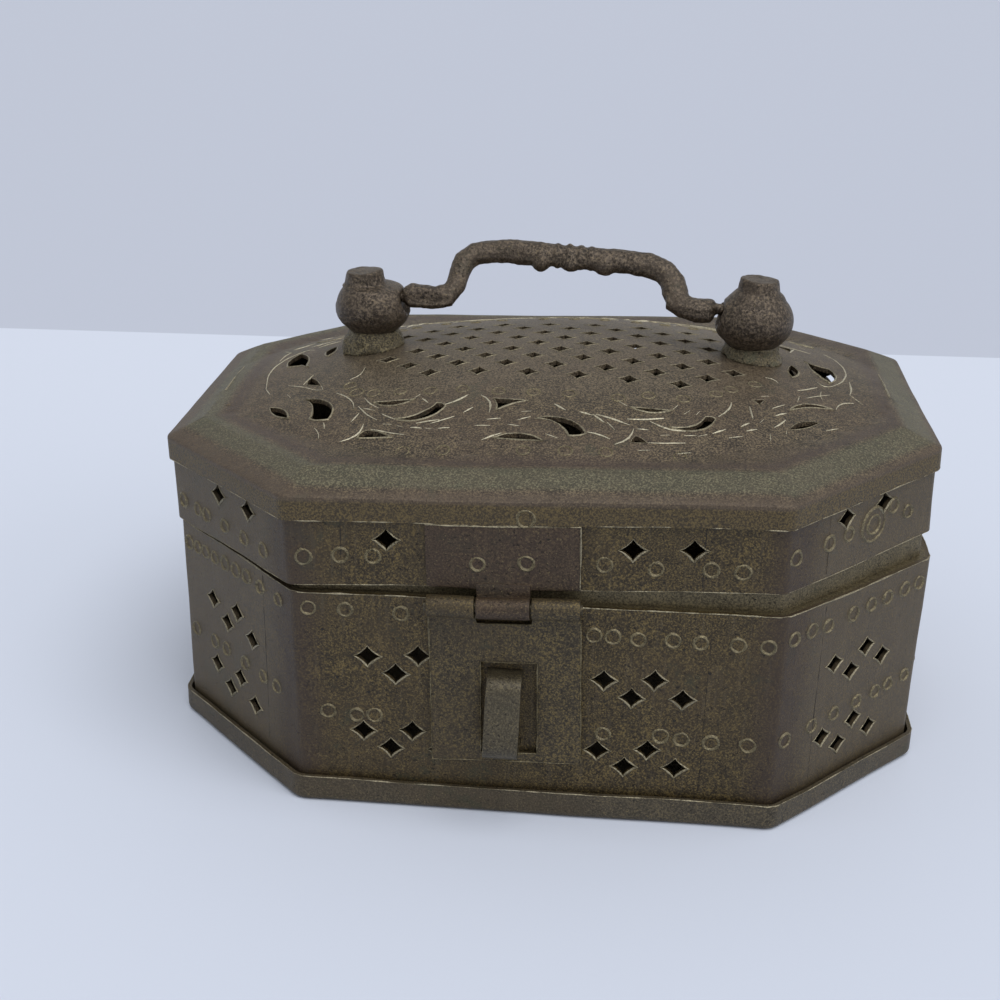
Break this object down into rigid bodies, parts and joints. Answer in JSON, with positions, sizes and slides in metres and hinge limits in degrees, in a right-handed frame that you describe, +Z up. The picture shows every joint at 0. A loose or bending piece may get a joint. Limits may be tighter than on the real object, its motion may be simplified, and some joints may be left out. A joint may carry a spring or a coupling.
{
  "type": "trinket box",
  "caption": "Eight-sided pierced brass trinket box with a hinged domed lid, a swinging bail handle on two knob posts and a slotted hasp over a staple.",
  "frame": {"origin": "middle of the base tray's underside, on the surface the box stands on", "axes": "+Z up, +X along the front towards the right end as seen from the front, -Y the front with the hasp"},
  "size_m": [0.143, 0.1184, 0.0888],
  "materials": {
    "sheet_brass": "aged, patinated",
    "lid_brass": "aged, patinated",
    "cast_brass": "aged, patinated",
    "solder_brass": "aged, patinated",
    "fitting_brass": "aged, patinated"
  },
  "bodies": {
    "box": {"base_tray": "sheet_brass", "body_wall": "sheet_brass", "body_lip": "sheet_brass", "hasp_staple": "fitting_brass", "left_hinge_body_leaf": "fitting_brass", "left_hinge_pin": "fitting_brass", "right_hinge_body_leaf": "fitting_brass", "right_hinge_pin": "fitting_brass"},
    "lid": {"lid_top": "lid_brass", "lid_skirt": "sheet_brass", "hasp_lid_leaf": "fitting_brass", "hasp_pin": "fitting_brass", "left_post": "cast_brass", "left_post_collar": "solder_brass", "left_post_washer": "fitting_brass", "left_hinge_lid_leaf": "fitting_brass", "right_post": "cast_brass", "right_post_collar": "solder_brass", "right_post_washer": "fitting_brass", "right_hinge_lid_leaf": "fitting_brass"},
    "hasp": {"hasp_flap": "fitting_brass"},
    "bail": {"bail_handle": "cast_brass"}
  },
  "joints": [
    {"name": "lid_open", "type": "hinge", "parent": "box", "child": "lid", "pos_m": [-0.00065, 0.05565, 0.04271], "axis": [-0.9994, 0, -0.0349], "range_deg": [0, 110]},
    {"name": "hasp_swing", "type": "hinge", "parent": "lid", "child": "hasp", "pos_m": [-0.00571, -0.0561, 0.04153], "axis": [-0.9994, 0, -0.0349], "range_deg": [0, 170]},
    {"name": "bail_swing", "type": "hinge", "parent": "lid", "child": "bail", "pos_m": [-0.00048, 0.0022, 0.07873], "axis": [0.999, -0.0436, 0.0139], "range_deg": [-65, 155]}
  ]
}
